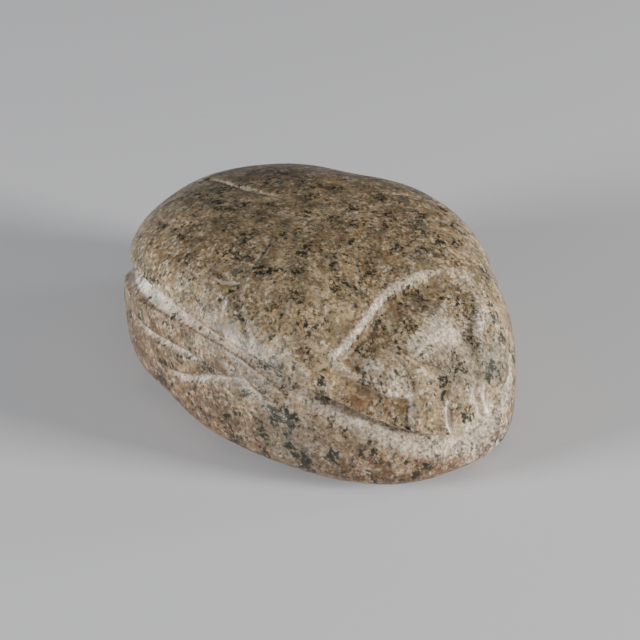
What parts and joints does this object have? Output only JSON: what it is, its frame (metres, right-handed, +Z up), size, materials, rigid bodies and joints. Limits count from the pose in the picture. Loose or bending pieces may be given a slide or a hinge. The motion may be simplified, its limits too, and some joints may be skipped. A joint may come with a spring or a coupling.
{
  "type": "scarab amulet",
  "caption": "Stone beetle carved in the round, with a smooth domed back, a sunk head plate with a notched edge, and a waist groove above a thick rounded base with a flat underside.",
  "frame": {"origin": "on the underside, at the middle of the amulet's length and width", "axes": "+X towards the head, +Y towards the beetle's left side, +Z up from the underside to the back"},
  "size_m": [0.0556, 0.039, 0.0211],
  "materials": {
    "stone": "polished speckled hard stone, worn"
  },
  "bodies": {
    "root": {"scarab": "stone"}
  },
  "joints": []
}
